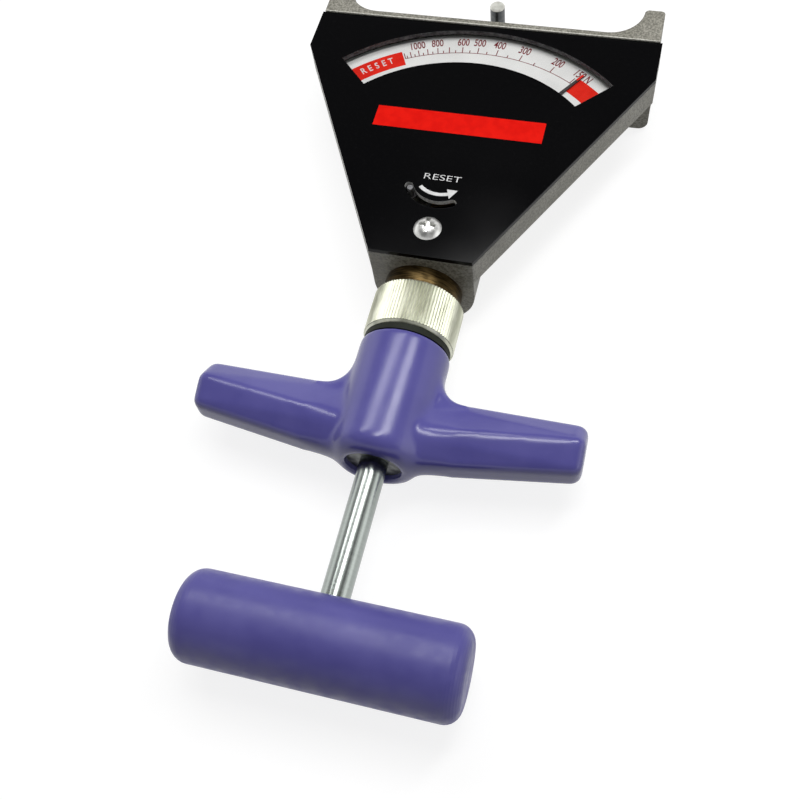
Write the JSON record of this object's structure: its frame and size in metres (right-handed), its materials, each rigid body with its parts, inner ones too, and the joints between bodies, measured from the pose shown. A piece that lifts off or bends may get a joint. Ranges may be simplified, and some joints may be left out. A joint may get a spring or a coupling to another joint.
{
  "type": "belt tension tester",
  "caption": "Hand-held belt tension tester: fork head with an arc dial and memory pointer, sprung plunger with hook finger, knurled neck ring, T-handle and cross grip.",
  "frame": {"origin": "middle of the plan, on the plane that the arms' rear pads rest on", "axes": "+X to the right seen from the dial, +Y along the plunger toward the hook, +Z out of the dial"},
  "size_m": [0.1134, 0.2387, 0.0344],
  "materials": {
    "cast_alloy": "cast, satin",
    "black_panel": "gloss",
    "bright_steel": "plated",
    "clear_lens": "clear",
    "dial_white": "satin",
    "pointer_paint": "satin",
    "brass": "turned",
    "spring_steel": "oiled",
    "dark_steel": "satin",
    "chromed_rod": "polished",
    "nickel": "plated",
    "zinc_steel": "knurled, plated",
    "fibre": "matt",
    "purple_plastic": "satin moulded"
  },
  "bodies": {
    "frame": {"case": "cast_alloy", "front_panel": "black_panel", "panel_screw": "bright_steel", "window_lens": "clear_lens", "dial_plate": "dial_white", "dial_screws": "bright_steel", "pointer_arbor": "bright_steel", "friction_washer": "brass", "arbor_clip": "spring_steel", "upper_bush": "brass", "neck_sleeve": "brass", "main_spring": "spring_steel", "ring_washer": "fibre", "t_handle": "purple_plastic", "lower_bush": "bright_steel"},
    "plunger": {"plunger_rod": "chromed_rod", "hook": "dark_steel", "hook_finger": "nickel", "hook_pin": "bright_steel", "rack": "bright_steel", "rack_rivets": "brass", "rack_bracket": "dark_steel", "bracket_pin": "bright_steel", "spring_seat": "bright_steel", "seat_clip": "spring_steel", "grip": "purple_plastic", "grip_insert": "bright_steel"},
    "sector": {"drive_sector": "brass", "drive_dog": "bright_steel"},
    "needle": {"pointer": "pointer_paint", "reset_pin": "bright_steel"},
    "ring": {"lock_ring": "zinc_steel"}
  },
  "joints": [
    {"name": "plunger_slide", "type": "slide", "parent": "frame", "child": "plunger", "axis": [0, 1, 0], "range_m": [0, 0.0165], "stiffness_N_per_m": 2500, "springref_m": -0.008, "deforming": ["main_spring"]},
    {"name": "sector_turn", "type": "hinge", "parent": "frame", "child": "sector", "pos_m": [0, 0.03295, 0.0265], "axis": [0, 0, 1], "range_deg": [0, 84.5]},
    {"name": "pointer_turn", "type": "hinge", "parent": "frame", "child": "needle", "pos_m": [0, 0.03295, 0.0292], "axis": [0, 0, 1], "range_deg": [0, 76]},
    {"name": "lock_ring_turn", "type": "hinge", "parent": "frame", "child": "ring", "pos_m": [0, -0.0094, 0.0155], "axis": [0, 1, 0], "continuous": true}
  ],
  "couplings": [
    {"joint": "sector_turn", "follows": "plunger_slide", "rad_per_m": 89.286}
  ]
}
